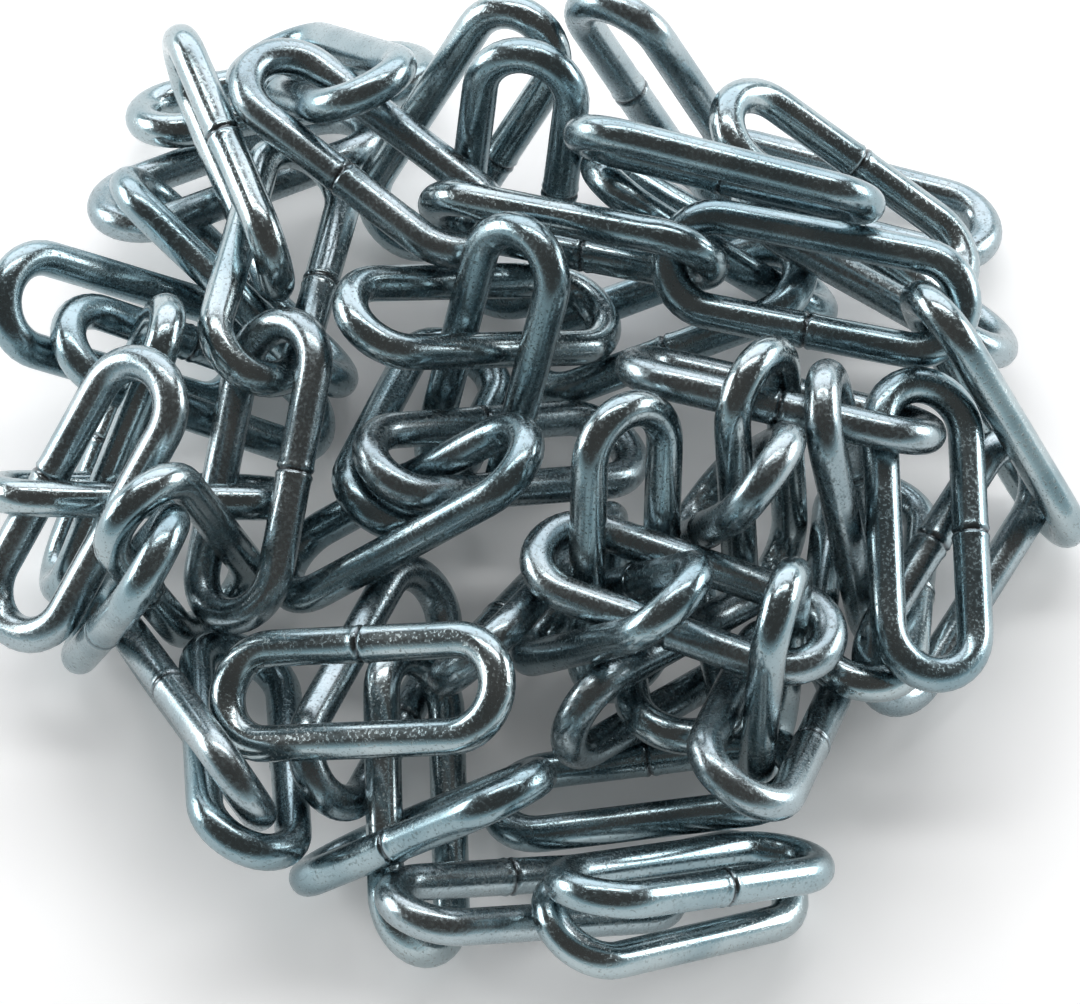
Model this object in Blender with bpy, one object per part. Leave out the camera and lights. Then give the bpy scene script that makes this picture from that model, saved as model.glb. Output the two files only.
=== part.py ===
"""Loose heap of zinc-plated steel chain with long straight links.

Every link is one closed solid of its own.  The links are drawn from readings of the
photograph: where the two end bends of each link are seen, which end and which side bar
is nearer, and about how high the link lies.  The readings are turned into places in
space, and the links are then moved apart until no wire touches another and the lowest
ones lie on the floor.  The links seen least are slipped in between the others last.
"""
import math

import bpy
import numpy as np

# Driving dimensions, in millimetres.
WIRE_DIAMETER = 5.0          # round wire of one link
BAR_LENGTH = 28.0            # straight part, from the centre of one end bend to the other
BEND_RADIUS = 6.5            # end bend, measured to the middle of the wire
LINK_LENGTH = BAR_LENGTH + 2.0 * BEND_RADIUS + WIRE_DIAMETER      # 46 mm over all
LINK_WIDTH = 2.0 * BEND_RADIUS + WIRE_DIAMETER                    # 18 mm over all
WIRE_SPACING = 5.47          # least distance kept between the middles of two wires
SECTION_SIDES = 8            # sides of the plain wire section
BEND_STEPS = 6               # straight steps round one end bend

# How the photograph was taken.
PICTURE_MIDDLE = (540.0, 502.0)   # pixel that the camera points at
PIXELS_PER_MM = 7.2               # scale at the middle of the heap
CAMERA_DISTANCE = 1100.0          # millimetres from the camera to the middle of the heap
CAMERA_RISE = math.radians(60.0)  # how far the camera looks down

# How the links are settled.
STACK_STEPS = 300            # steps that put each link above or below its neighbours
REST_STEPS = 40              # slower steps of the same kind
EASE_STEPS = 400             # steps that part the wires of the links seen best
FILL_STEPS = 250             # steps that make room for the links seen least
FREE_STEPS = 400             # most steps left to part the wires with nothing pulling
FINE_STEPS = 60              # last steps, followed at closer points
LOOP_POINTS = 48             # points followed round each link
FINE_POINTS = 96             # closer points for the last steps
FINE_SPACING = 5.41          # spacing kept at the closer points
TURN_EASE = 0.6 / 100.0      # how readily a link turns when it is pushed off centre
HALF_HELD = 0.35             # how much a half hidden link is drawn back to its reading
HALF_EASE = 2.0              # how much more readily it gives way
FILLING_EASE = 3.0           # how readily a link seen least gives way
VIEW_TURN = 1.0              # share of a turn about the line of sight that is drawn back
ROLL_TURN = 0.5              # the same for a roll about the link's own length
TIP_TURN = 0.3               # the same for one end tipping towards the camera

STEEL_COLOUR = (0.62, 0.64, 0.66, 1.0)
STEEL_ROUGHNESS = 0.28
STEEL_METALLIC = 1.0


class Reading:
    """One link as it is seen in the photograph."""

    def __init__(self, key, first, second, roll, near, height):
        """Keep the pixel places of both end bends, the roll, the nearer end and the height."""
        self.key = key
        self.first = first
        self.second = second
        self.roll = math.radians(roll)
        self.near = near
        self.height = height


READINGS = (
    Reading("tl_edge", first=(201, 89), second=(253, 252), roll=-82, near="second", height=12),
    Reading("tl_diag", first=(290, 97), second=(452, 214), roll=40, near="second", height=22),
    Reading("x_loop", first=(300, 84), second=(345, 72), roll=75, near="second", height=24),
    Reading("l_arc1", first=(187, 113), second=(378, 80), roll=68, near="first", height=6),
    Reading("l_arc2", first=(150, 200), second=(330, 140), roll=51, near="first", height=7),
    Reading("l_hair", first=(159, 231), second=(325, 338), roll=68, near="first", height=10),
    Reading("jhook", first=(249, 340), second=(303, 196), roll=-10, near="first", height=17),
    Reading("vert_l", first=(275, 382), second=(242, 586), roll=-43, near="second", height=21),
    Reading("ll1", first=(66, 362), second=(258, 385), roll=36, near="first", height=4),
    Reading("hair_a", first=(144, 353), second=(78, 548), roll=-80, near="second", height=13),
    Reading("loop_b", first=(142, 413), second=(62, 608), roll=-25, near="second", height=10),
    Reading("hook_c", first=(138, 562), second=(115, 636), roll=88, near="first", height=22),
    Reading("arch_d", first=(141, 503), second=(207, 606), roll=8, near="first", height=27),
    Reading("edge_e", first=(156, 633), second=(237, 800), roll=78, near="second", height=12),
    Reading("loop_h", first=(240, 660), second=(246, 832), roll=28, near="second", height=8),
    Reading("horiz_m", first=(285, 698), second=(445, 690), roll=8, near="second", height=18),
    Reading("u_p", first=(405, 605), second=(346, 772), roll=35, near="second", height=10),
    Reading("edge_f", first=(357, 854), second=(492, 806), roll=75, near="second", height=17),
    Reading("u2", first=(444, 722), second=(387, 902), roll=31, near="second", height=8),
    Reading("s1", first=(430, 894), second=(622, 898), roll=69, near="first", height=7),
    Reading("v2", first=(603, 900), second=(765, 836), roll=58, near="first", height=14),
    Reading("br", first=(590, 940), second=(752, 848), roll=10, near="first", height=3),
    Reading("j2", first=(785, 659), second=(764, 797), roll=20, near="second", height=12),
    Reading("w1", first=(525, 799), second=(720, 749), roll=38, near="second", height=12),
    Reading("u3", first=(664, 588), second=(713, 716), roll=25, near="second", height=17),
    Reading("c1", first=(571, 578), second=(771, 637), roll=28, near="first", height=38),
    Reading("k2", first=(591, 547), second=(591, 650), roll=63, near="first", height=24),
    Reading("e2", first=(795, 607), second=(795, 710), roll=56, near="first", height=23),
    Reading("n1", first=(609, 548), second=(470, 670), roll=-78, near="second", height=24),
    Reading("u_mid", first=(503, 273), second=(497, 462), roll=-44, near="first", height=30),
    Reading("w2", first=(405, 311), second=(552, 316), roll=42, near="first", height=22),
    Reading("sa", first=(403, 458), second=(598, 462), roll=50, near="first", height=24),
    Reading("sb", first=(498, 493), second=(313, 553), roll=-41, near="first", height=28),
    Reading("g2", first=(644, 455), second=(640, 640), roll=20, near="first", height=28),
    Reading("k3", first=(676, 394), second=(873, 421), roll=-82, near="first", height=34),
    Reading("v3", first=(905, 437), second=(903, 645), roll=33, near="first", height=24),
    Reading("j3", first=(872, 535), second=(859, 638), roll=10, near="second", height=20),
    Reading("q1", first=(812, 450), second=(848, 600), roll=80, near="first", height=26),
    Reading("big_ur", first=(714, 261), second=(920, 309), roll=0, near="first", height=26),
    Reading("k1", first=(489, 213), second=(664, 252), roll=-73, near="second", height=32),
    Reading("tr", first=(938, 218), second=(750, 195), roll=-55, near="first", height=5),
    Reading("k4", first=(624, 153), second=(820, 198), roll=-80, near="second", height=18),
    Reading("ne", first=(765, 158), second=(905, 255), roll=45, near="first", height=10),
    Reading("nb", first=(580, 45), second=(735, 155), roll=85, near="first", height=6),
    Reading("a1", first=(520, 105), second=(508, 280), roll=-10, near="first", height=18),
    Reading("a2", first=(510, 62), second=(414, 204), roll=-10, near="first", height=10),
    Reading("b1", first=(778, 252), second=(961, 318), roll=75, near="second", height=12),
    Reading("b4", first=(565, 357), second=(740, 267), roll=52, near="second", height=18),
    Reading("r0", first=(959, 352), second=(993, 470), roll=-70, near="first", height=22),
    Reading("r1", first=(1018, 490), second=(902, 651), roll=30, near="first", height=10),
)

# Links seen only between the others, which fill the heap once the others are in place.
FILLING = (
    Reading("ll2", first=(118, 380), second=(290, 430), roll=62, near="first", height=7),
    Reading("ll3", first=(66, 504), second=(250, 522), roll=80, near="first", height=6),
    Reading("o1", first=(672, 765), second=(770, 612), roll=80, near="first", height=16),
    Reading("x3", first=(428, 392), second=(418, 560), roll=25, near="second", height=12),
    Reading("q", first=(762, 412), second=(785, 590), roll=38, near="first", height=20),
    Reading("e3", first=(762, 505), second=(738, 545), roll=80, near="first", height=24),
    Reading("a4", first=(635, 210), second=(800, 255), roll=60, near="first", height=14),
)

# A link on edge whose near side passes over the other link and whose far side passes under.
HOOKED = (
    ("k1", "tl_diag"), ("k1", "big_ur"), ("r0", "big_ur"), ("r0", "r1"), ("k2", "c1"),
    ("e2", "c1"), ("n1", "horiz_m"), ("edge_f", "w1"), ("hook_c", "loop_b"), ("hook_c", "arch_d"),
    ("x_loop", "tl_diag"), ("k3", "v3"), ("edge_e", "loop_h"), ("l_hair", "l_arc2"), ("s1", "u2"),
    ("tl_edge", "jhook"), ("k2", "g2"), ("k2", "n1"), ("e2", "j3"),
)

# Links that hang from an end bend, so that their upper end passes over and their lower under.
HUNG = ("k2", "e2")

# Pairs where the first link is seen to pass over the second.
SEEN_OVER = (
    ("tl_edge", "l_arc1"), ("tl_edge", "l_arc2"), ("tl_edge", "l_hair"), ("tl_diag", "l_arc1"),
    ("tl_diag", "l_arc2"), ("tl_diag", "jhook"), ("tl_diag", "a1"), ("tl_diag", "a2"),
    ("tl_diag", "w2"), ("x_loop", "l_arc1"), ("l_arc1", "l_arc2"), ("jhook", "l_hair"),
    ("jhook", "ll1"), ("hair_a", "ll1"), ("arch_d", "hair_a"), ("arch_d", "loop_b"),
    ("vert_l", "horiz_m"), ("vert_l", "sb"), ("horiz_m", "arch_d"), ("horiz_m", "loop_h"),
    ("horiz_m", "edge_e"), ("horiz_m", "u_p"), ("loop_b", "edge_e"), ("c1", "n1"), ("c1", "u3"),
    ("c1", "g2"), ("c1", "j2"), ("sb", "n1"), ("sb", "u_mid"), ("sb", "u_p"), ("sa", "u_mid"),
    ("n1", "u2"), ("edge_f", "u2"), ("w1", "u2"), ("w1", "v2"), ("u3", "w1"), ("j2", "w1"),
    ("j2", "v2"), ("j2", "br"), ("v2", "s1"), ("v2", "br"), ("v3", "r1"), ("g2", "k3"),
    ("r0", "tr"), ("r0", "b1"), ("big_ur", "b1"), ("big_ur", "b4"), ("big_ur", "ne"),
    ("big_ur", "tr"), ("k4", "ne"), ("k4", "tr"), ("k4", "nb"), ("ne", "tr"), ("ne", "nb"),
    ("k1", "a1"), ("k1", "a2"), ("k1", "b4"), ("a1", "a2"), ("u_mid", "k1"), ("u_mid", "tl_diag"),
    ("u_mid", "b4"), ("arch_d", "edge_e"), ("k3", "q1"), ("c1", "q1"), ("w2", "b4"), ("k1", "w2"),
)

# Pairs whose crossing is hidden: the first link is taken to pass over the second.
HIDDEN_OVER = (
    ("arch_d", "ll1"), ("r1", "j3"), ("k3", "sa"), ("w2", "jhook"), ("a2", "l_arc2"),
    ("edge_f", "u_p"), ("r1", "q1"), ("edge_f", "loop_h"), ("b1", "b4"), ("u_p", "u2"),
    ("arch_d", "sb"), ("j2", "u3"), ("hair_a", "l_hair"), ("b1", "nb"), ("r1", "j2"),
    ("jhook", "l_arc1"), ("g2", "w1"), ("tl_edge", "tl_diag"), ("u2", "loop_h"), ("k4", "b4"),
    ("tr", "b4"), ("ne", "b4"), ("ne", "b1"),
)

# One crossing where the first link passes over the second, unlike their other crossings.
CROSSINGS = (
    ("jhook", "vert_l", (228, 388)), ("arch_d", "vert_l", (212, 530)), ("sa", "sb", (375, 487)),
    ("w2", "u_mid", (473, 344)), ("hair_a", "loop_b", (150, 400)), ("loop_b", "hair_a", (62, 600)),
    ("vert_l", "arch_d", (240, 615)), ("vert_l", "jhook", (290, 365)),
)

# Links that are mostly hidden, so that their readings hold them less.
HALF_HIDDEN = (
    "l_arc2", "l_hair", "ll1", "u2", "nb", "b1", "b4",
)

SINE = math.sin(CAMERA_RISE)
COSINE = math.cos(CAMERA_RISE)
FOCAL = PIXELS_PER_MM * CAMERA_DISTANCE
TOWARDS = np.array([0.0, 0.0, 1.0])       # towards the camera, in the camera's own axes
UPWARDS = np.array([0.0, COSINE, SINE])   # world up, in the camera's own axes
WIRE_RADIUS = WIRE_DIAMETER / 2.0


def lifted(pixel, depth):
    """Return the point seen at a pixel, at a depth towards the camera."""
    reach = (CAMERA_DISTANCE - depth) / FOCAL
    return np.array([(pixel[0] - PICTURE_MIDDLE[0]) * reach,
                     (PICTURE_MIDDLE[1] - pixel[1]) * reach, depth])


def seen(points):
    """Return the pixels at which camera-space points are seen."""
    reach = FOCAL / (CAMERA_DISTANCE - points[..., 2])
    return np.stack([PICTURE_MIDDLE[0] + points[..., 0] * reach,
                     PICTURE_MIDDLE[1] - points[..., 1] * reach], -1)


def unit(vector):
    """Return a vector at length one."""
    return vector / math.sqrt(float((vector * vector).sum()))


def turned(vector):
    """Return the matrix of a small turn given as axis times angle."""
    angle = math.sqrt(float((vector * vector).sum()))
    if angle < 1e-12:
        return np.eye(3)
    axis = vector / angle
    skew = np.array([[0.0, -axis[2], axis[1]], [axis[2], 0.0, -axis[0]], [-axis[1], axis[0], 0.0]])
    return np.eye(3) + math.sin(angle) * skew + (1.0 - math.cos(angle)) * (skew @ skew)


def turn_of(matrix):
    """Return a rotation matrix as axis times angle."""
    cosine = max(-1.0, min(1.0, (float(np.trace(matrix)) - 1.0) / 2.0))
    angle = math.acos(cosine)
    if angle < 1e-9:
        return np.zeros(3)
    axis = np.array([matrix[2, 1] - matrix[1, 2], matrix[0, 2] - matrix[2, 0],
                     matrix[1, 0] - matrix[0, 1]])
    return axis * (angle / (2.0 * math.sin(angle)))


def read_place(reading):
    """Return the centre of a link and its three axes: along, across and through."""
    middle = ((reading.first[0] + reading.second[0]) / 2.0,
              (reading.first[1] + reading.second[1]) / 2.0)
    depth = 0.0
    for _ in range(20):
        up_picture = lifted(middle, depth)[1]
        depth = (reading.height - up_picture * COSINE) / SINE
    seen_length = math.hypot(reading.second[0] - reading.first[0],
                             reading.second[1] - reading.first[1])
    seen_length *= (CAMERA_DISTANCE - depth) / FOCAL
    half = math.sqrt(max(BAR_LENGTH ** 2 - seen_length ** 2, 0.0)) / 2.0
    if reading.near == "second":
        half = -half
    first = lifted(reading.first, depth + half)
    second = lifted(reading.second, depth - half)
    centre = (first + second) / 2.0
    along = unit(second - first)
    sight = unit(np.array([-centre[0], -centre[1], CAMERA_DISTANCE - centre[2]]))
    flat = unit(np.cross(along, sight))
    facing = np.cross(flat, along)
    across = flat * math.cos(reading.roll) + facing * math.sin(reading.roll)
    return centre, np.stack([along, across, np.cross(across, along)])


def loop_points(count):
    """Return evenly spaced points round the middle of the wire, as along and across."""
    bend = math.pi * BEND_RADIUS
    points = []
    for index in range(count):
        way = (index + 0.5) * (2.0 * BAR_LENGTH + 2.0 * bend) / count
        if way < BAR_LENGTH:
            points.append((way - BAR_LENGTH / 2.0, BEND_RADIUS))
        elif way < BAR_LENGTH + bend:
            angle = (way - BAR_LENGTH) / BEND_RADIUS
            points.append((BAR_LENGTH / 2.0 + BEND_RADIUS * math.sin(angle),
                           BEND_RADIUS * math.cos(angle)))
        elif way < 2.0 * BAR_LENGTH + bend:
            points.append((1.5 * BAR_LENGTH + bend - way, -BEND_RADIUS))
        else:
            angle = (way - 2.0 * BAR_LENGTH - bend) / BEND_RADIUS
            points.append((-BAR_LENGTH / 2.0 - BEND_RADIUS * math.sin(angle),
                           -BEND_RADIUS * math.cos(angle)))
    return np.array(points)


def squares_between(ones, others):
    """Return the squared distances between two stacks of point lists."""
    total = (ones ** 2).sum(-1)[:, :, None] + (others ** 2).sum(-1)[:, None, :]
    return total - 2.0 * np.matmul(ones, others.transpose(0, 2, 1))


class Heap:
    """All the links, with where they are and how they pass over each other."""

    def __init__(self, readings):
        """Place every link where the photograph shows it."""
        self.keys = [reading.key for reading in readings]
        self.count = len(readings)
        places = [read_place(reading) for reading in readings]
        self.centres = np.array([place[0] for place in places])
        self.axes = np.array([place[1] for place in places])
        self.first_centres = self.centres.copy()
        self.first_axes = self.axes.copy()
        self.first_pixels = seen(self.first_centres)
        self.loop = loop_points(LOOP_POINTS)
        self.tight = 0.0
        self.spacing = WIRE_SPACING
        loose = np.array([key in HALF_HIDDEN for key in self.keys])
        self.held = np.where(loose, HALF_HELD, 1.0)
        self.ease = np.where(loose, HALF_EASE, 1.0)
        self.left = []
        self.right = []
        self.over = []
        self.pair_up()

    def points(self):
        """Return the points round every link, in camera space."""
        return (self.centres[:, None, :] + self.loop[None, :, 0, None] * self.axes[:, None, 0, :]
                + self.loop[None, :, 1, None] * self.axes[:, None, 1, :])

    def pair_up(self):
        """List the pairs of links seen near each other and which passes over."""
        place = {key: index for index, key in enumerate(self.keys)}
        points = self.points()
        pixels = seen(points)
        low = pixels.min(1) - 47.0
        high = pixels.max(1) + 47.0
        hooked = {(place[a], place[b]) for a, b in HOOKED if a in place and b in place}
        listed = SEEN_OVER + HIDDEN_OVER
        passes = {(place[a], place[b]) for a, b in listed if a in place and b in place}
        crossings = {}
        for upper, lower, pixel in CROSSINGS:
            if upper in place and lower in place:
                pair = frozenset((place[upper], place[lower]))
                crossings.setdefault(pair, []).append((place[upper], pixel))
        for i in range(self.count):
            for j in range(i + 1, self.count):
                if (low[i] > high[j] - 22.0).any() or (low[j] > high[i] - 22.0).any():
                    continue
                apart = np.sqrt(((pixels[i][:, None] - pixels[j][None]) ** 2).sum(-1))
                weight = np.maximum(0.0, 40.0 - apart)
                rise = float((weight * (points[i][:, None, 2] - points[j][None, :, 2])).sum())
                over = np.full((LOOP_POINTS, LOOP_POINTS), 1.0 if rise >= 0.0 else -1.0)
                if (i, j) in passes or (j, i) in passes:
                    over = np.full((LOOP_POINTS, LOOP_POINTS), 1.0 if (i, j) in passes else -1.0)
                if self.keys[i] in HUNG or self.keys[j] in HUNG:
                    over = np.zeros((LOOP_POINTS, LOOP_POINTS))
                if (i, j) in hooked:
                    over = np.repeat(self.near_side(i)[:, None], LOOP_POINTS, 1)
                if (j, i) in hooked:
                    over = -np.repeat(self.near_side(j)[None, :], LOOP_POINTS, 0)
                for upper, pixel in crossings.get(frozenset((i, j)), []):
                    here_i = np.sqrt(((pixels[i] - np.array(pixel)) ** 2).sum(-1)) < 60.0
                    here_j = np.sqrt(((pixels[j] - np.array(pixel)) ** 2).sum(-1)) < 60.0
                    over[np.ix_(here_i, here_j)] = 1.0 if upper == i else -1.0
                self.left.append(i)
                self.right.append(j)
                self.over.append(over)
        self.left = np.array(self.left)
        self.right = np.array(self.right)
        self.over = np.array(self.over)
        lowest, highest = self.over.min((1, 2)), self.over.max((1, 2))
        self.signs = np.where(lowest == highest, lowest, 0.0)

    def near_side(self, index):
        """Return, round one hooked link, 1 on its near side and -1 on its far side."""
        along, across = self.loop[:, 0], self.loop[:, 1]
        if self.keys[index] in HUNG:
            return np.where(np.abs(along) < 6.0, 0.0, np.sign(along) * np.sign(self.axes[index, 0, 2]))
        side = np.sign(self.axes[index, 1, 2]) or 1.0
        return np.where(np.abs(across) < 2.2, 0.0, np.sign(across) * side)

    def push(self, moves, turns, touched, which, points, spots, amounts, ways):
        """Push links at one point each, along a way, by an amount."""
        arms = points[which, spots] - self.centres[which]
        twists = np.cross(arms, ways)
        np.add.at(moves, which, amounts[:, None] * ways)
        np.add.at(turns, which, TURN_EASE * amounts[:, None] * twists)
        np.add.at(touched, which, 1.0)

    def give(self, which, points, spots, ways):
        """Return how readily links move at one point each along a way."""
        arms = points[which, spots] - self.centres[which]
        twists = np.cross(arms, ways)
        return 1.0 + TURN_EASE * (twists ** 2).sum(1)

    def part(self, moves, turns, touched, points, pairs, spots, amounts, ways):
        """Part the touching pairs, sharing each push between both links."""
        left, right = self.left[pairs], self.right[pairs]
        shares = (self.give(left, points, spots[0], ways) * self.ease[left]
                  + self.give(right, points, spots[1], ways) * self.ease[right])
        amounts = amounts / shares
        self.push(moves, turns, touched, left, points, spots[0], amounts * self.ease[left], ways)
        self.push(moves, turns, touched, right, points, spots[1], -amounts * self.ease[right], ways)

    def near_pairs(self, points, room):
        """Return the listed pairs whose boxes, in the given axes, come within a room of each other."""
        low = points.min(1)
        high = points.max(1) + room
        reach = ((low[self.left] <= high[self.right]) & (low[self.right] <= high[self.left])).all(1)
        return np.where(reach)[0]

    def stack_step(self):
        """Move links towards or away from the camera where their order is wrong."""
        points = self.points()
        moves, turns, touched = self.blank()
        reach = CAMERA_DISTANCE / (CAMERA_DISTANCE - points[..., 2])
        flat = points[..., :2] * reach[..., None]
        chosen_pairs = self.near_pairs(flat, WIRE_SPACING)
        apart = squares_between(flat[self.left[chosen_pairs]], flat[self.right[chosen_pairs]])
        near = apart.reshape(len(chosen_pairs), -1).min(1) < WIRE_SPACING ** 2
        chosen_pairs, apart = chosen_pairs[near], apart[near]
        left, right = self.left[chosen_pairs], self.right[chosen_pairs]
        rise = points[left][:, :, None, 2] - points[right][:, None, :, 2]
        need = np.sqrt(np.maximum(WIRE_SPACING ** 2 - apart, 0.0))
        for sign in (1.0, -1.0):
            rows = np.where(self.signs[chosen_pairs] * sign >= 0.0)[0]
            short = np.where(apart[rows] < WIRE_SPACING ** 2, need[rows] - sign * rise[rows], -1000.0)
            mixed = np.where(self.signs[chosen_pairs[rows]] == 0.0)[0]
            over = self.over[chosen_pairs[rows[mixed]]]
            short[mixed] = np.where(over == sign, short[mixed], -1000.0)
            short = short.reshape(len(rows), -1)
            best = short.argmax(1)
            amount = short[np.arange(len(rows)), best]
            hits = np.where(amount > 0.0)[0]
            if len(hits):
                spots = (best[hits] // LOOP_POINTS, best[hits] % LOOP_POINTS)
                ways = np.tile(TOWARDS, (len(hits), 1))
                self.part(moves, turns, touched, points, chosen_pairs[rows[hits]], spots,
                          np.minimum(amount[hits], 3.0) * sign, ways)
        self.lift(moves, turns, touched, points, TOWARDS)
        self.apply(moves, turns, touched)

    def ease_step(self):
        """Move links apart where two wires really come too close."""
        points = self.points()
        moves, turns, touched = self.blank()
        count = len(self.loop)
        close = self.near_pairs(points, self.spacing)
        left, right = self.left[close], self.right[close]
        squares = squares_between(points[left], points[right])
        rows = np.arange(len(close))
        self.tight = 100.0
        for turn in range(2):
            flat = squares.reshape(len(rows), -1)
            best = flat.argmin(1)
            distance = np.sqrt(np.maximum(flat[rows, best], 1e-9))
            if turn == 0:
                self.tight = float(distance.min())
            hits = np.where(distance < self.spacing)[0]
            if not len(hits):
                break
            spots = (best[hits] // count, best[hits] % count)
            ways = points[left[hits], spots[0]] - points[right[hits], spots[1]]
            ways = ways / distance[hits][:, None]
            self.part(moves, turns, touched, points, close[hits], spots,
                      self.spacing - distance[hits], ways)
            reach = count // 16
            for hit, one, two in zip(hits, spots[0], spots[1]):
                ones = [(one + step) % count for step in range(-reach, reach + 1)]
                twos = [(two + step) % count for step in range(-reach, reach + 1)]
                squares[hit][np.ix_(ones, twos)] = 1e6
        self.lift(moves, turns, touched, points, UPWARDS)
        self.apply(moves, turns, touched)

    def blank(self):
        """Return empty moves, turns and counts for one step."""
        return np.zeros((self.count, 3)), np.zeros((self.count, 3)), np.zeros(self.count)

    def lift(self, moves, turns, touched, points, way):
        """Lift links that reach below the floor."""
        heights = (points * UPWARDS).sum(-1)
        spots = heights.argmin(1)
        low = heights[np.arange(self.count), spots]
        which = np.where(low < WIRE_RADIUS)[0]
        if len(which):
            ways = np.tile(way, (len(which), 1))
            give = self.give(which, points, spots[which], ways)
            amounts = (WIRE_RADIUS - low[which]) / float((way * UPWARDS).sum()) / give
            self.push(moves, turns, touched, which, points, spots[which], amounts, ways)

    def apply(self, moves, turns, touched):
        """Carry out the moves and turns of one step."""
        share = 0.9 / np.maximum(1.0, touched * 0.6)
        self.centres += moves * share[:, None]
        for index in np.where(touched > 0.0)[0]:
            self.axes[index] = self.axes[index] @ turned(turns[index] * share[index]).T

    def settle(self, fall, hold, keep, way):
        """Let links sink along the line of sight and draw them back to their readings."""
        centres = self.centres
        sight = np.stack([-centres[:, 0], -centres[:, 1], CAMERA_DISTANCE - centres[:, 2]], 1)
        sight = sight / np.sqrt((sight ** 2).sum(1))[:, None]
        centres = centres - fall * sight
        reach = (CAMERA_DISTANCE - centres[:, 2]) / FOCAL
        goal_x = (self.first_pixels[:, 0] - PICTURE_MIDDLE[0]) * reach
        goal_y = (PICTURE_MIDDLE[1] - self.first_pixels[:, 1]) * reach
        centres[:, 0] += (goal_x - centres[:, 0]) * hold * self.held
        centres[:, 1] += (goal_y - centres[:, 1]) * hold * self.held
        self.centres = centres
        if keep > 0.0:
            for index in range(self.count):
                self.turn_back(index, sight[index], keep * self.held[index])
        low = (self.points() * UPWARDS).sum(-1).min(1)
        lift = np.maximum(WIRE_RADIUS - low, 0.0) / float((way * UPWARDS).sum())
        self.centres += lift[:, None] * way
        self.centres = np.round(self.centres, 6)
        self.axes = np.round(self.axes, 8)

    def turn_back(self, index, sight, share):
        """Turn one link part of the way back to how it was read."""
        now, goal = self.axes[index], self.first_axes[index]
        back = turn_of(goal.T @ now)
        lie = goal[0] - (goal[0] @ sight) * sight
        size = math.sqrt(float(lie @ lie))
        pull = 0.2 * back
        if size >= 0.2:
            lie = lie / size
            tip = np.cross(sight, lie)
            pull = (VIEW_TURN * (back @ sight) * sight + ROLL_TURN * (back @ lie) * lie
                    + TIP_TURN * (back @ tip) * tip)
        self.axes[index] = now @ turned(pull * share).T

    def fill(self, readings):
        """Add the links seen least to those that are already in place."""
        places = [read_place(reading) for reading in readings]
        centres = np.array([place[0] for place in places])
        axes = np.array([place[1] for place in places])
        self.keys += [reading.key for reading in readings]
        self.count = len(self.keys)
        self.centres = np.concatenate([self.centres, centres])
        self.axes = np.concatenate([self.axes, axes])
        self.first_axes = np.concatenate([self.first_axes, axes])
        self.first_pixels = np.concatenate([self.first_pixels, seen(centres)])
        self.held = np.append(self.held, np.full(len(readings), HALF_HELD))
        self.ease = np.append(self.ease, np.full(len(readings), FILLING_EASE))
        self.left, self.right = np.triu_indices(self.count, 1)

    def settle_down(self):
        """Stack the links in order, part their wires, fill the gaps and leave them free."""
        for _ in range(STACK_STEPS):
            self.stack_step()
            self.settle(0.25, 0.30, 0.30, TOWARDS)
        for _ in range(REST_STEPS):
            self.stack_step()
            self.settle(0.10, 0.20, 0.30, TOWARDS)
        for step in range(EASE_STEPS):
            left = 1.0 - step / EASE_STEPS
            self.ease_step()
            self.settle(0.10 * left, 0.30 * left, 0.25 * left, UPWARDS)
        self.fill(FILLING)
        for step in range(FILL_STEPS):
            left = 1.0 - step / FILL_STEPS
            self.ease_step()
            self.settle(0.05 * left, 0.15 * left, 0.10 * left, UPWARDS)
        for _ in range(FREE_STEPS):
            self.ease_step()
            self.settle(0.0, 0.0, 0.0, UPWARDS)
            if self.tight > WIRE_SPACING - 0.03:
                break
        self.loop = loop_points(FINE_POINTS)
        self.spacing = FINE_SPACING
        for _ in range(FINE_STEPS):
            self.ease_step()
            self.settle(0.0, 0.0, 0.0, UPWARDS)
            if self.tight > FINE_SPACING - 0.03:
                break

    def world(self):
        """Return the centres and axes with Z up and the floor at zero, still in millimetres."""
        to_world = np.array([[1.0, 0.0, 0.0], [0.0, SINE, -COSINE], [0.0, COSINE, SINE]])
        axes = self.axes @ to_world.T
        return self.centres @ to_world.T, axes


def link_mesh(name, centre, axes):
    """Return the closed mesh of one link, as a ring of wire sections."""
    outline = []
    for side in (1.0, -1.0):
        for step in range(BEND_STEPS + 1):
            angle = math.pi * step / BEND_STEPS
            spot = (side * (BAR_LENGTH / 2.0 + BEND_RADIUS * math.sin(angle)),
                    side * BEND_RADIUS * math.cos(angle))
            outline.append((spot, (side * math.sin(angle), side * math.cos(angle))))
    corner = 2.0 * math.pi / SECTION_SIDES
    radius = WIRE_RADIUS * math.sqrt(corner / math.sin(corner))
    vertices = []
    for spot, outward in outline:
        middle = centre + spot[0] * axes[0] + spot[1] * axes[1]
        away = outward[0] * axes[0] + outward[1] * axes[1]
        for side in range(SECTION_SIDES):
            angle = 2.0 * math.pi * side / SECTION_SIDES
            point = middle + radius * (math.cos(angle) * away + math.sin(angle) * axes[2])
            vertices.append(tuple(float(value) / 1000.0 for value in point))
    rings = len(outline)
    faces = []
    for ring in range(rings):
        after = (ring + 1) % rings
        for side in range(SECTION_SIDES):
            beside = (side + 1) % SECTION_SIDES
            faces.append((ring * SECTION_SIDES + side, after * SECTION_SIDES + side,
                          after * SECTION_SIDES + beside, ring * SECTION_SIDES + beside))
    mesh = bpy.data.meshes.new(name)
    mesh.from_pydata(vertices, [], faces)
    mesh.validate()
    return mesh


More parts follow.
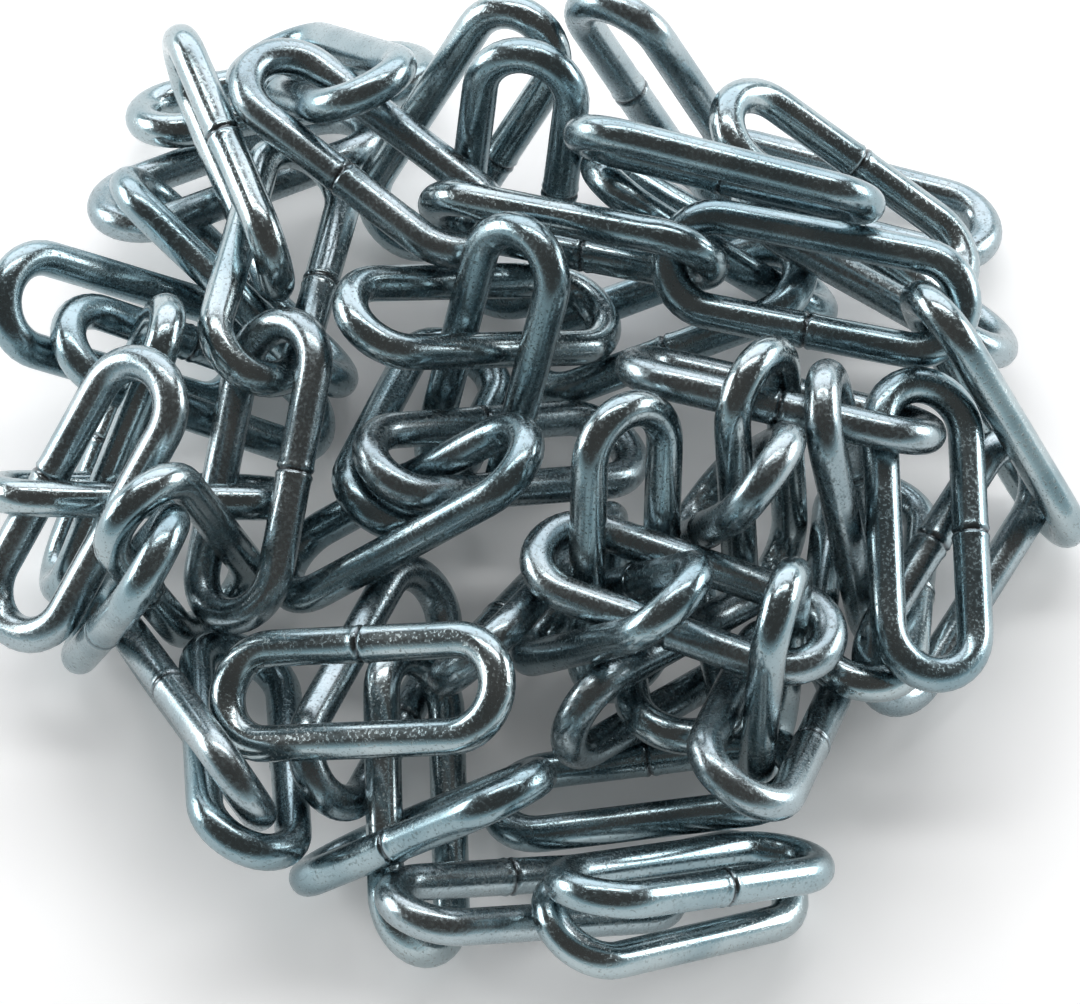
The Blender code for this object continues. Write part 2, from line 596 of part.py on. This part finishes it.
def steel(name):
    """Return a plain bright steel material of its own."""
    material = bpy.data.materials.new(name)
    material.use_nodes = True
    shader = material.node_tree.nodes["Principled BSDF"]
    shader.inputs["Base Color"].default_value = STEEL_COLOUR
    shader.inputs["Roughness"].default_value = STEEL_ROUGHNESS
    shader.inputs["Metallic"].default_value = STEEL_METALLIC
    return material


def build():
    """Clear the scene and build the heap."""
    for old in list(bpy.data.objects):
        bpy.data.objects.remove(old, do_unlink=True)
    heap = Heap(READINGS)
    heap.settle_down()
    centres, axes = heap.world()
    meshes = []
    for index in range(heap.count):
        name = "link_%02d" % (index + 1)
        meshes.append((name, link_mesh(name, centres[index], axes[index])))
    corners = [vertex.co for _, mesh in meshes for vertex in mesh.vertices]
    low = [min(corner[axis] for corner in corners) for axis in range(3)]
    high = [max(corner[axis] for corner in corners) for axis in range(3)]
    middle = ((low[0] + high[0]) / 2.0, (low[1] + high[1]) / 2.0, low[2])
    for name, mesh in meshes:
        for vertex in mesh.vertices:
            vertex.co = [vertex.co[axis] - middle[axis] for axis in range(3)]
        for face in mesh.polygons:
            face.use_smooth = True
        mesh.materials.append(steel("zinc_plated_steel_" + name[-2:]))
        item = bpy.data.objects.new(name, mesh)
        bpy.context.scene.collection.objects.link(item)


build()
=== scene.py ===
"""Loose heap of zinc-plated steel chain, dressed for the render.

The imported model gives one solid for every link.  Each solid's place and direction are
read from its own mesh, and a finer link of round wire with its welded joint takes its
place.  A pale floor, soft studio light and the photograph's camera angle complete it.
"""
import logging
import math
from dataclasses import dataclass, field
from enum import Enum
from typing import List, Tuple, Union

import bpy
import numpy as np
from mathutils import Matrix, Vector


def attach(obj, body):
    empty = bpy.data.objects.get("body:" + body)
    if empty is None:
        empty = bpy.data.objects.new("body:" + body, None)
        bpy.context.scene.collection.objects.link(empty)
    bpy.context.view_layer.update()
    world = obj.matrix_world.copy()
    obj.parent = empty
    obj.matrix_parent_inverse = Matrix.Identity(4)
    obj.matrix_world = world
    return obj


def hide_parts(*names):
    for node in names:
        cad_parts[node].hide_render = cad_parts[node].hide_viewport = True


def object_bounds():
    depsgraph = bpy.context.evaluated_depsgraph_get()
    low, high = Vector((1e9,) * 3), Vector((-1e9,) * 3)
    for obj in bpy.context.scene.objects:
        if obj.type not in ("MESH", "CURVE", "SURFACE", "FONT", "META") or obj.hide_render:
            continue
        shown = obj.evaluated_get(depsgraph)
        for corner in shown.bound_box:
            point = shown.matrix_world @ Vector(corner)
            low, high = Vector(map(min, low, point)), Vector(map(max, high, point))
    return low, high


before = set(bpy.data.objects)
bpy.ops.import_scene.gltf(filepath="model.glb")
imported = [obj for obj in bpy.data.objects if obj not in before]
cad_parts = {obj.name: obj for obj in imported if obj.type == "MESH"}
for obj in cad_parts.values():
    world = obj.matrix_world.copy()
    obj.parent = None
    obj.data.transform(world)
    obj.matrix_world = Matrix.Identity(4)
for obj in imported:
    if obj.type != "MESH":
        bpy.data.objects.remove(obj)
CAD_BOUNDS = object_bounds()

LOG = logging.getLogger("chain_heap")

Colour = Tuple[float, float, float, float]
Point = Tuple[float, float, float]
Span = Tuple[float, float]
Socket = bpy.types.NodeSocket


class Side(Enum):
    """Which straight bar of a link carries the welded joint, with its sign across."""

    UPPER = 1.0
    LOWER = -1.0


class Plating(Enum):
    """The shades that the zinc plating takes from link to link."""

    BRIGHT = "bright"
    COOL = "cool"
    SATIN = "satin"


@dataclass(frozen=True)
class Pattern:
    """A cloudy pattern that breaks up a surface.

    Attributes:
        scale: Number of features per metre.
        layers: Number of finer layers.
        strength: Strength of the finer layers.
    """

    scale: float
    layers: float = 1.0
    strength: float = 0.5


class NodeBoard:
    """The nodes of a material or of the surroundings, with short ways to add to them."""

    def __init__(self, owner: Union[bpy.types.Material, bpy.types.World],
                 shader: str = "Principled BSDF") -> None:
        """Open the nodes.

        Args:
            owner: The material or the surroundings to work on.
            shader: Name of the node that the others lead to.
        """
        owner.use_nodes = True
        self.nodes = owner.node_tree.nodes
        self.links = owner.node_tree.links
        self.shader = self.nodes[shader]

    def add(self, kind: str, **values: float) -> bpy.types.Node:
        """Add a node.

        Args:
            kind: The node's type name, after the words that all of them start with.
            values: Values for its inputs, with underscores for the spaces in their names.

        Returns:
            The node.
        """
        node = self.nodes.new("ShaderNode" + kind)
        for name, value in values.items():
            node.inputs[name.replace("_", " ")].default_value = value
        return node

    def join(self, source: Socket, target: Socket) -> None:
        """Link two sockets.

        Args:
            source: The socket that gives a value.
            target: The socket that takes it.
        """
        self.links.new(source, target)

    def attribute(self, name: str) -> bpy.types.Node:
        """Add a node that reads a value kept with the points of a mesh.

        Args:
            name: Name of the value.

        Returns:
            The node.
        """
        node = self.add("Attribute")
        node.attribute_name = name
        return node

    def noise(self, place: Socket, pattern: Pattern) -> Socket:
        """Add a cloudy pattern.

        Args:
            place: Where the pattern is read.
            pattern: Its scale and layers.

        Returns:
            The pattern's value.
        """
        node = self.add("TexNoise", Scale=pattern.scale, Detail=pattern.layers,
                        Roughness=pattern.strength)
        self.join(place, node.inputs["Vector"])
        return node.outputs["Fac"]

    def spread(self, value: Socket, span: Span = (0.0, 1.0),
               result: Span = (0.0, 1.0)) -> Socket:
        """Spread a value over another range.

        Args:
            value: The value.
            span: Where its range starts and ends.
            result: What the start and the end become.

        Returns:
            The value in the new range.
        """
        node = self.add("MapRange", From_Min=span[0], From_Max=span[1],
                        To_Min=result[0], To_Max=result[1])
        self.join(value, node.inputs["Value"])
        return node.outputs["Result"]

    def blend(self, factor: Socket, first: Union[Socket, Colour], second: Colour,
              way: str = "MIX") -> Socket:
        """Blend a colour into another.

        Args:
            factor: How much of the second colour shows.
            first: The colour below, plain or from other nodes.
            second: The colour that is blended in.
            way: How the two are blended.

        Returns:
            The blended colour.
        """
        node = self.add("Mix")
        node.data_type = "RGBA"
        node.blend_type = way
        node.inputs["B"].default_value = second
        self.join(factor, node.inputs["Factor"])
        if isinstance(first, tuple):
            node.inputs["A"].default_value = first
        else:
            self.join(first, node.inputs["A"])
        return node.outputs["Result"]

    def total(self, first: Socket, second: Socket) -> Socket:
        """Add two values together.

        Args:
            first: One value.
            second: The other value.

        Returns:
            Their sum.
        """
        node = self.add("Math")
        self.join(first, node.inputs[0])
        self.join(second, node.inputs[1])
        return node.outputs["Value"]

    def relief(self, height: Socket, depth: float) -> Socket:
        """Raise the surface by a pattern.

        Args:
            height: The pattern.
            depth: Height of the pattern, in metres.

        Returns:
            The raised surface's direction.
        """
        node = self.add("Bump", Strength=1.0, Distance=depth)
        self.join(height, node.inputs["Height"])
        return node.outputs["Normal"]


@dataclass(frozen=True)
class ZincFinish:
    """Bright zinc plating on drawn steel wire.

    Attributes:
        shade: Name of the shade.
        light: Colour of the clean plating.
        deep: Colour of the cloudier patches.
        smooth: Roughness of the best polished places.
        dull: Roughness of the frosted places.
        clouds: Pattern of the cloudier patches.
        cloud_span: Between which of its values a patch builds up.
        speckle: Pattern of the fine grain and of the pits.
        speckle_span: Between which of its values the grain goes from smooth to dull.
        pit_span: Between which of its values a pit builds up.
        streaks: Pattern of the drawing marks.
        streak_stretch: Scale of the drawing marks along the wire, against across it.
        grain_height: Height of the fine grain, in metres.
        pit_height: Depth of the scattered pits, in metres.
        streak_height: Height of the drawing marks, in metres.
        pit_dullness: How much rougher the pits are.
        stain: Tint of the pits.
        stain_strength: How much of that tint shows.
        seam: Colour in the groove of the weld.
    """

    shade: Plating
    light: Colour
    deep: Colour
    smooth: float
    dull: float
    clouds: Pattern = Pattern(130.0)
    cloud_span: Span = (0.38, 0.66)
    speckle: Pattern = Pattern(2250.0, 2.0, 0.62)
    speckle_span: Span = (0.34, 0.66)
    pit_span: Span = (0.58, 0.72)
    streaks: Pattern = Pattern(2600.0)
    streak_stretch: float = 0.05
    grain_height: float = 0.000007
    pit_height: float = 0.000015
    streak_height: float = 0.000005
    pit_dullness: float = 0.16
    stain: Colour = (0.62, 0.55, 0.50, 1.0)
    stain_strength: float = 0.7
    seam: Colour = (0.07, 0.075, 0.08, 1.0)

    def colour(self, board: NodeBoard, wire_place: Socket, pits: Socket) -> Socket:
        """Colour the plating: cloudy patches, stained pits and the weld's dark groove.

        Args:
            board: The material's nodes.
            wire_place: Where a point lies on the wire.
            pits: How deep a point lies in a pit.

        Returns:
            The colour.
        """
        clouds = board.spread(board.noise(wire_place, self.clouds), self.cloud_span)
        patches = board.blend(clouds, self.light, self.deep)
        stains = board.spread(pits, result=(0.0, self.stain_strength))
        stained = board.blend(stains, patches, self.stain, "MULTIPLY")
        return board.blend(board.attribute("weld").outputs["Fac"], stained, self.seam)

    def roughness(self, board: NodeBoard, speckle: Socket, pits: Socket) -> Socket:
        """Make the grain frosted in places and the pits dull.

        Args:
            board: The material's nodes.
            speckle: The fine grain.
            pits: How deep a point lies in a pit.

        Returns:
            The roughness.
        """
        return board.total(board.spread(speckle, self.speckle_span, (self.smooth, self.dull)),
                           board.spread(pits, result=(0.0, self.pit_dullness)))

    def surface(self, board: NodeBoard, wire_place: Socket, speckle: Socket,
                pits: Socket) -> Socket:
        """Raise the drawing marks and the grain, and mark the pits.

        Args:
            board: The material's nodes.
            wire_place: Where a point lies on the wire.
            speckle: The fine grain.
            pits: How deep a point lies in a pit.

        Returns:
            The surface's direction.
        """
        drawn = board.add("Mapping")
        drawn.inputs["Scale"].default_value = (self.streak_stretch, 1.0, 1.0)
        board.join(wire_place, drawn.inputs["Vector"])
        streaks = board.noise(drawn.outputs["Vector"], self.streaks)
        height = board.total(
            board.spread(streaks, result=(0.0, self.streak_height / self.pit_height)),
            board.spread(speckle, result=(0.0, self.grain_height / self.pit_height)))
        return board.relief(board.total(height, pits), self.pit_height)

    def material(self) -> bpy.types.Material:
        """Build the plating as a node material.

        Returns:
            The finished material.
        """
        material = bpy.data.materials.new("zinc_plating_" + self.shade.value)
        board = NodeBoard(material)
        metal = board.shader.inputs
        metal["Metallic"].default_value = 1.0
        wire_place = board.attribute("wire_place").outputs["Vector"]
        speckle = board.noise(wire_place, self.speckle)
        pits = board.spread(speckle, self.pit_span)
        board.join(self.colour(board, wire_place, pits), metal["Base Color"])
        board.join(self.roughness(board, speckle, pits), metal["Roughness"])
        board.join(self.surface(board, wire_place, speckle, pits), metal["Normal"])
        return material


@dataclass(frozen=True)
class LinkPlace:
    """Where one link lies.

    Attributes:
        centre: Middle of the link, in metres.
        along: Direction of the straight bars.
        across: Direction from one bar to the other.
        through: Direction through the link's window.
    """

    centre: Vector
    along: Vector
    across: Vector
    through: Vector

    @classmethod
    def of_node(cls, node: bpy.types.Object, digits: int = 7) -> "LinkPlace":
        """Read a link's place from the points of its solid.

        Args:
            node: The solid of the link.
            digits: Decimals of a metre to which two points are the same corner.

        Returns:
            The place of the link.
        """
        corners = np.array([tuple(vertex.co) for vertex in node.data.vertices])
        corners = np.unique(np.round(corners, digits), axis=0)
        centre = corners.mean(axis=0)
        spread = (corners - centre).T @ (corners - centre)
        _, directions = np.linalg.eigh(spread)
        along = Vector(directions[:, 2])
        across = Vector(directions[:, 1])
        if across.z < 0.0:
            across = -across
        if along.x < 0.0:
            along = -along
        return cls(Vector(centre), along, across, along.cross(across))


@dataclass(frozen=True)
class Section:
    """One ring of points on the wire's way round the link.

    Attributes:
        along: Its place along the bars, from the link's middle.
        across: Its place across the bars, from the link's middle.
        out_along: Part of the outward direction that runs along the bars.
        out_across: Part of the outward direction that runs across the bars.
        growth: Growth of the wire's radius.
        mark: How strongly the weld shows.
    """

    along: float
    across: float
    out_along: float
    out_across: float
    growth: float = 0.0
    mark: float = 0.0


@dataclass(frozen=True)
class ButtWeld:
    """The joint where the two ends of the bent wire meet.

    Attributes:
        lip_height: Height of the lips beside the groove, in metres.
        lip_place: Distance from the joint to the top of a lip.
        lip_width: How far a lip spreads.
        groove_depth: Depth of the groove.
        groove_width: How far the groove spreads.
        mark_width: How far the dark colour of the groove spreads.
    """

    lip_height: float = 0.00014
    lip_place: float = 0.0006
    lip_width: float = 0.00035
    groove_depth: float = 0.00022
    groove_width: float = 0.00022
    mark_width: float = 0.00035

    def growth(self, way: float) -> float:
        """Say how much the wire's radius grows near the weld.

        Args:
            way: Distance along the bar from the weld, in metres.

        Returns:
            The growth in metres, below zero in the groove.
        """
        lip = self.lip_height * math.exp(-((abs(way) - self.lip_place) / self.lip_width) ** 2)
        groove = self.groove_depth * math.exp(-(way / self.groove_width) ** 2)
        return lip - groove

    def mark(self, way: float) -> float:
        """Say how strongly the weld's dark colour shows.

        Args:
            way: Distance along the bar from the weld, in metres.

        Returns:
            One in the groove, falling to zero beside it.
        """
        return math.exp(-(way / self.mark_width) ** 2)


@dataclass
class ChainLink:
    """One long link of round wire, closed by a weld in the middle of a bar.

    Attributes:
        name: Name of the finished piece.
        node: Name of the solid that it takes the place of.
        number: Number of the link, which shifts its pattern of marks.
        seam: The bar that carries the weld.
        weld: The shape of the weld.
        bar_length: Length of a straight bar.
        bend_radius: Radius of an end bend, to the middle of the wire.
        wire_radius: Radius of the wire.
        sides: Number of sides round the wire.
        bend_steps: Number of steps round an end bend.
        bar_stations: Places of a bar's sections, from its middle, closest at the weld.
        pattern_shift: How far the marks of the next link are shifted, in metres.
    """

    name: str
    node: str
    number: int
    seam: Side = Side.LOWER
    weld: ButtWeld = ButtWeld()
    bar_length: float = 0.028
    bend_radius: float = 0.0065
    wire_radius: float = 0.0025
    sides: int = 28
    bend_steps: int = 18
    bar_stations: Tuple[float, ...] = (
        -0.0115, -0.0085, -0.0055, -0.0030, -0.0016, -0.0010, -0.0006, -0.0003, 0.0,
        0.0003, 0.0006, 0.0010, 0.0016, 0.0030, 0.0055, 0.0085, 0.0115)
    pattern_shift: float = 0.37

    def bend(self, end: float) -> List[Section]:
        """List the sections of an end bend.

        Args:
            end: One for the bend ahead along the bars, minus one for the other.

        Returns:
            The sections, in the wire's order.
        """
        sections = []
        for step in range(self.bend_steps + 1):
            angle = math.pi * step / self.bend_steps
            out_along, out_across = end * math.sin(angle), end * math.cos(angle)
            sections.append(Section(
                out_along * self.bend_radius + end * self.bar_length / 2.0,
                out_across * self.bend_radius, out_along, out_across))
        return sections

    def bar(self, side: float) -> List[Section]:
        """List the sections of a straight bar, with the weld if this bar carries it.

        Args:
            side: One for the upper bar, minus one for the lower.

        Returns:
            The sections, in the wire's order.
        """
        sections = []
        for station in self.bar_stations:
            growth, mark = 0.0, 0.0
            if side == self.seam.value:
                growth, mark = self.weld.growth(station), self.weld.mark(station)
            sections.append(Section(side * station, side * self.bend_radius, 0.0, side,
                                    growth, mark))
        return sections

    def sections(self) -> List[Section]:
        """List the sections round the whole link.

        Returns:
            The sections, in the wire's order.
        """
        return self.bend(1.0) + self.bar(-1.0) + self.bend(-1.0) + self.bar(1.0)

    def ring(self) -> List[Tuple[float, float]]:
        """List the directions round the wire.

        Returns:
            For each side of the wire, its share outwards and its share through the window.
        """
        turns = [2.0 * math.pi * side / self.sides for side in range(self.sides)]
        return [(math.cos(turn), math.sin(turn)) for turn in turns]

    def keep_inside(self, points: List[Vector], centre: Vector) -> np.ndarray:
        """Draw the link in by a hair where its round bends reach past the solids' box.

        Args:
            points: The points of the link.
            centre: Middle of the link.

        Returns:
            The points, all inside the box.
        """
        middle = np.array(centre)
        offsets = np.array([tuple(point) for point in points]) - middle
        low, high = (np.array(corner) - middle for corner in CAD_BOUNDS)
        room = min((high / offsets.max(axis=0)).min(), (low / offsets.min(axis=0)).min())
        return middle + offsets * min(1.0, room)

    def points(self, place: LinkPlace, sections: List[Section]) -> np.ndarray:
        """Place the points of the wire's surface.

        Args:
            place: Where the link lies.
            sections: The sections round the link.

        Returns:
            The points, ring by ring.
        """
        points = []
        for section in sections:
            middle = (place.centre + section.along * place.along
                      + section.across * place.across)
            outward = section.out_along * place.along + section.out_across * place.across
            radius = self.wire_radius + section.growth
            for out, through in self.ring():
                points.append(middle + radius * (out * outward + through * place.through))
        return self.keep_inside(points, place.centre)

    def wire_places(self, sections: List[Section]) -> List[float]:
        """Say where each point lies on the wire, for the marks on the plating.

        The way along the wire counts back from the middle, so the marks meet where the
        wire closes.

        Args:
            sections: The sections round the link.

        Returns:
            Three numbers a point: way along the wire, and place across its section.
        """
        whole = 2.0 * self.bar_length + 2.0 * math.pi * self.bend_radius
        places = []
        run = 0.0
        last = sections[0]
        for section in sections:
            run += math.hypot(section.along - last.along, section.across - last.across)
            last = section
            way = min(run, whole - run) + self.number * self.pattern_shift
            for out, through in self.ring():
                places.extend((way, self.wire_radius * out, self.wire_radius * through))
        return places

    def faces(self, count: int) -> List[Tuple[int, int, int, int]]:
        """List the faces between the rings of points.

        Args:
            count: Number of rings.

        Returns:
            The four points of each face.
        """
        faces = []
        for row in range(count):
            here, after = row * self.sides, (row + 1) % count * self.sides
            for side in range(self.sides):
                beside = (side + 1) % self.sides
                faces.append((here + side, after + side, after + beside, here + beside))
        return faces

    def mesh(self) -> bpy.types.Mesh:
        """Build the link's mesh, with the weld's mark and the way along the wire.

        Returns:
            The mesh.
        """
        place = LinkPlace.of_node(bpy.data.objects[self.node])
        sections = self.sections()
        mesh = bpy.data.meshes.new(self.name)
        mesh.from_pydata(self.points(place, sections).tolist(), [], self.faces(len(sections)))
        mesh.polygons.foreach_set("use_smooth", [True] * len(mesh.polygons))
        layer = mesh.attributes.new("weld", "FLOAT", "POINT")
        marks = [section.mark for section in sections for _ in range(self.sides)]
        layer.data.foreach_set("value", marks)
        layer = mesh.attributes.new("wire_place", "FLOAT_VECTOR", "POINT")
        layer.data.foreach_set("vector", self.wire_places(sections))
        return mesh

    def build(self, material: bpy.types.Material) -> bpy.types.Object:
        """Build the link in place of its solid.

        Args:
            material: The plating of the link.

        Returns:
            The finished link.
        """
        mesh = self.mesh()
        mesh.materials.append(material)
        mesh.update()
        piece = bpy.data.objects.new(self.name, mesh)
        bpy.context.scene.collection.objects.link(piece)
        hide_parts(self.node)
        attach(piece, "root")
        return piece


@dataclass
class ChainHeap:
    """The whole heap, link by link.

    Attributes:
        upper_seams: Solids whose weld sits on the upper bar.
        finishes: The shades of plating.
        finish_step: How many shades on the next link's shade lies.
        pieces: The finished links.
    """

    upper_seams: Tuple[str, ...] = (
        "link_01", "link_02", "link_08", "link_14", "link_16", "link_18", "link_21",
        "link_22", "link_26", "link_35", "link_48", "link_50", "link_53")
    finishes: Tuple[ZincFinish, ...] = (
        ZincFinish(Plating.BRIGHT, (0.40, 0.475, 0.495, 1.0), (0.28, 0.365, 0.395, 1.0),
                   0.15, 0.26),
        ZincFinish(Plating.COOL, (0.33, 0.42, 0.45, 1.0), (0.23, 0.32, 0.355, 1.0),
                   0.17, 0.29),
        ZincFinish(Plating.SATIN, (0.37, 0.44, 0.465, 1.0), (0.27, 0.345, 0.375, 1.0),
                   0.19, 0.33),
    )
    finish_step: int = 2
    pieces: List[bpy.types.Object] = field(default_factory=list)

    def build(self) -> List[bpy.types.Object]:
        """Build every link of the heap.

        Returns:
            The finished links.
        """
        materials = [finish.material() for finish in self.finishes]
        for number, node in enumerate(sorted(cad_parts)):
            seam = Side.UPPER if node in self.upper_seams else Side.LOWER
            link = ChainLink("chain_" + node, node, number, seam)
            material = materials[number * self.finish_step % len(materials)]
            self.pieces.append(link.build(material))
            LOG.info("built %s in place of %s", link.name, node)
        return self.pieces


@dataclass(frozen=True)
class PaleFloor:
    """The pale floor, which glows away from the heap as a light table does; the glow is
    painted light, kept low under the heap as painted shade.

    Attributes:
        size: Width of the floor, in metres.
        steps: Number of squares along each side.
        roughness: How dull the floor is.
        gloss: Strength of its mirror reflections.
        tones: The two pale tones of the floor.
        mottle: Pattern of the tones.
        near_ring: Distances from the middle between which the painted glow rises beside the
            heap, out of the painted shade under it.
        near_painted_glow: The painted glow inside and outside that ring.
        far_ring: Distances from the middle between which the painted glow rises once more.
        far_painted_glow: What is added to the painted glow inside and outside that ring.
    """

    size: float = 6.0
    steps: int = 12
    roughness: float = 0.9
    gloss: float = 0.1
    tones: Tuple[Colour, Colour] = ((0.93, 0.93, 0.93, 1.0), (0.95, 0.95, 0.95, 1.0))
    mottle: Pattern = Pattern(8.0, 2.0)
    near_ring: Span = (0.045, 0.090)
    near_painted_glow: Span = (0.08, 0.42)
    far_ring: Span = (0.30, 1.30)
    far_painted_glow: Span = (0.0, 0.45)

    def material(self) -> bpy.types.Material:
        """Build the floor's material.

        Returns:
            The material.
        """
        material = bpy.data.materials.new("pale_floor")
        board = NodeBoard(material)
        matt = board.shader.inputs
        matt["Roughness"].default_value = self.roughness
        matt["Specular IOR Level"].default_value = self.gloss
        matt["Emission Color"].default_value = (1.0, 1.0, 1.0, 1.0)
        spot = board.add("TexCoord").outputs["Object"]
        board.join(board.blend(board.noise(spot, self.mottle), *self.tones),
                   matt["Base Color"])
        away = board.add("VectorMath")
        away.operation = "LENGTH"
        board.join(spot, away.inputs[0])
        distance = away.outputs["Value"]
        # The emission is painted light: dim under the heap as painted shade, and bright away
        # from it.
        painted_glow = board.total(board.spread(distance, self.near_ring, self.near_painted_glow),
                           board.spread(distance, self.far_ring, self.far_painted_glow))
        board.join(painted_glow, matt["Emission Strength"])
        # Rays meet the painted glow without being aimed at it, which keeps the render short.
        material.cycles.emission_sampling = "NONE"
        return material

    def build(self) -> bpy.types.Object:
        """Lay the floor.

        Returns:
            The floor.
        """
        places = [self.size * step / self.steps - self.size / 2.0
                  for step in range(self.steps + 1)]
        row = len(places)
        firsts = [line * row + column
                  for line in range(self.steps) for column in range(self.steps)]
        mesh = bpy.data.meshes.new("studio_floor")
        mesh.from_pydata([(x, y, 0.0) for y in places for x in places], [],
                         [(first, first + 1, first + row + 1, first + row)
                          for first in firsts])
        mesh.materials.append(self.material())
        floor = bpy.data.objects.new("studio_floor", mesh)
        bpy.context.scene.collection.objects.link(floor)
        return floor


@dataclass(frozen=True)
class Surroundings:
    """The room that the metal mirrors: bright at the horizon and dim overhead.

    Attributes:
        horizon: Colour of the bright ring at the horizon.
        overhead: Colour above it.
        fade: Heights between which the ring fades, as the sine of the angle.
        backdrop: White wall that the camera sees past the floor.
    """

    horizon: Colour = (0.62, 0.78, 0.83, 1.0)
    overhead: Colour = (0.090, 0.082, 0.077, 1.0)
    fade: Span = (0.06, 0.42)
    backdrop: Colour = (0.95, 0.95, 0.95, 1.0)

    def build(self) -> bpy.types.World:
        """Set up the surroundings.

        Returns:
            The world.
        """
        world = bpy.data.worlds.new("studio")
        board = NodeBoard(world, "Background")
        split = board.add("SeparateXYZ")
        board.join(board.add("TexCoord").outputs["Generated"], split.inputs["Vector"])
        ramp = board.add("ValToRGB")
        stops = zip(ramp.color_ramp.elements, self.fade, (self.horizon, self.overhead))
        for stop, height, colour in stops:
            stop.position = height
            stop.color = colour
        board.join(split.outputs["Z"], ramp.inputs["Fac"])
        seen = board.add("LightPath").outputs["Is Camera Ray"]
        board.join(board.blend(seen, ramp.outputs["Color"], self.backdrop),
                   board.shader.inputs["Color"])
        board.shader.inputs["Strength"].default_value = 1.0
        # Rays meet the soft surroundings without being aimed at them.
        world.cycles.sampling_method = "NONE"
        bpy.context.scene.world = world
        return world


@dataclass(frozen=True)
class SoftBox:
    """One soft studio light.

    Attributes:
        name: Name of the light.
        place: Where it stands, in metres.
        size: Its width and height, in metres.
        power: Its power in watts.
        colour: Its colour.
    """

    name: str
    place: Point
    size: Span
    power: float
    colour: Point = (1.0, 1.0, 1.0)

    def build(self, target: Vector) -> bpy.types.Object:
        """Set up the light, turned towards the heap.

        Args:
            target: The point that it lights.

        Returns:
            The light.
        """
        lamp = bpy.data.lights.new(self.name, "AREA")
        lamp.shape = "RECTANGLE"
        lamp.size, lamp.size_y = self.size
        lamp.energy = self.power
        lamp.color = self.colour
        item = bpy.data.objects.new(self.name, lamp)
        item.location = self.place
        item.rotation_euler = (target - Vector(self.place)).to_track_quat("-Z", "Y").to_euler()
        bpy.context.scene.collection.objects.link(item)
        return item


@dataclass(frozen=True)
class StudioCamera:
    """The camera at the photograph's angle.

    Attributes:
        target: The point at the middle of the picture.
        distance: Distance from the camera to that point.
        rise: Angle that the camera looks down, in degrees.
        lens: Focal length, in millimetres.
        sensor: Width of the sensor, in millimetres.
        reach: Nearest and farthest distance that it sees, in metres.
    """

    target: Point = (0.00075, 0.00507, 0.00013)
    distance: float = 1.1
    rise: float = 60.0
    lens: float = 264.0
    sensor: float = 36.0
    reach: Span = (0.01, 50.0)

    def build(self) -> bpy.types.Object:
        """Stand the camera in its place.

        Returns:
            The camera.
        """
        data = bpy.data.cameras.new("camera")
        data.sensor_fit = "HORIZONTAL"
        data.sensor_width = self.sensor
        data.lens = self.lens
        data.clip_start, data.clip_end = self.reach
        item = bpy.data.objects.new("camera", data)
        rise = math.radians(self.rise)
        towards = Vector((0.0, -math.cos(rise), math.sin(rise)))
        item.location = Vector(self.target) + self.distance * towards
        item.rotation_euler = (-towards).to_track_quat("-Z", "Y").to_euler()
        bpy.context.scene.collection.objects.link(item)
        bpy.context.scene.camera = item
        return item


@dataclass
class Studio:
    """Floor, light and camera.

    Attributes:
        floor: The floor that the heap lies on.
        surroundings: The room that the metal mirrors.
        camera: The camera.
        aim: The point that the lights are turned to.
        boxes: The soft lights.
    """

    floor: PaleFloor = PaleFloor()
    surroundings: Surroundings = Surroundings()
    camera: StudioCamera = StudioCamera()
    aim: Point = (0.0, 0.0, 0.02)
    boxes: Tuple[SoftBox, ...] = (
        SoftBox("left_softbox", (-1.12, 0.36, 0.34), (0.75, 0.44), 7.8),
        SoftBox("right_softbox", (1.12, 0.40, 0.34), (0.70, 0.44), 7.0),
        SoftBox("back_softbox", (0.0, 1.10, 0.60), (1.70, 0.80), 9.5, (0.97, 0.96, 1.0)),
        SoftBox("back_strip", (0.0, 0.60, 1.08), (1.30, 0.20), 5.4),
    )

    def picture_tones(self) -> None:
        """Show the light as it falls, so that the pale floor comes out white."""
        bpy.context.scene.view_settings.view_transform = "Standard"

    def build(self) -> None:
        """Set up the floor, the surroundings, the lights and the camera."""
        self.picture_tones()
        self.floor.build()
        self.surroundings.build()
        for box in self.boxes:
            box.build(Vector(self.aim))
            LOG.info("set up %s", box.name)
        self.camera.build()
        LOG.info("studio ready")


def main() -> None:
    """Build the heap and the studio round it."""
    logging.basicConfig(level=logging.INFO, format="%(message)s")
    heap = ChainHeap()
    heap.build()
    Studio().build()
    LOG.info("%d links built", len(heap.pieces))


if __name__ == "__main__":
    main()
